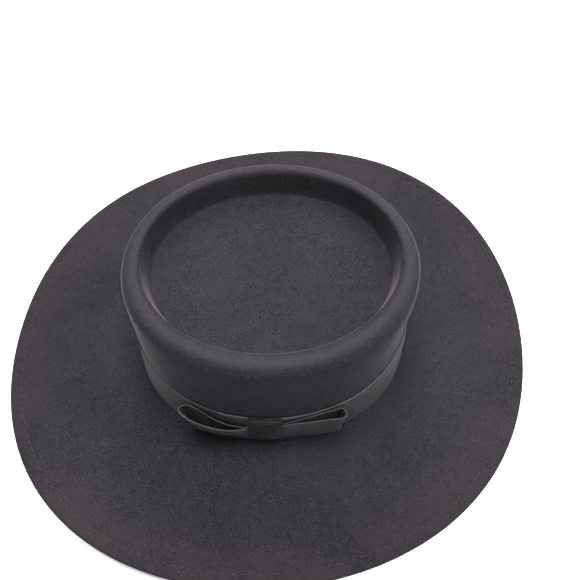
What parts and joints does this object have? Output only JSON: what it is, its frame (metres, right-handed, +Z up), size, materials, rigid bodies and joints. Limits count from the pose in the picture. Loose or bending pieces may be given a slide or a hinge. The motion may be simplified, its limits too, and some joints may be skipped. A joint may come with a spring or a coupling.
{
  "type": "floppy hat",
  "caption": "Wide-brimmed floppy felt hat with a flat dished crown, a ribbon band and a flat bow, lying on its stitched brim.",
  "frame": {"origin": "on the surface that the hat lies on, under the middle of its bounding box", "axes": "+Z up through the crown, +X along the long way of the brim, the bow faces -Y"},
  "size_m": [0.3882, 0.372, 0.1016],
  "materials": {
    "felt": "black wool felt, short nap, matt",
    "grosgrain": "black grosgrain ribbon, fine upright ribs, slight sheen"
  },
  "bodies": {
    "root": {"felt_body": "felt", "hat_band": "grosgrain", "bow_loop_left": "grosgrain", "bow_loop_right": "grosgrain", "bow_knot": "grosgrain"}
  },
  "joints": []
}
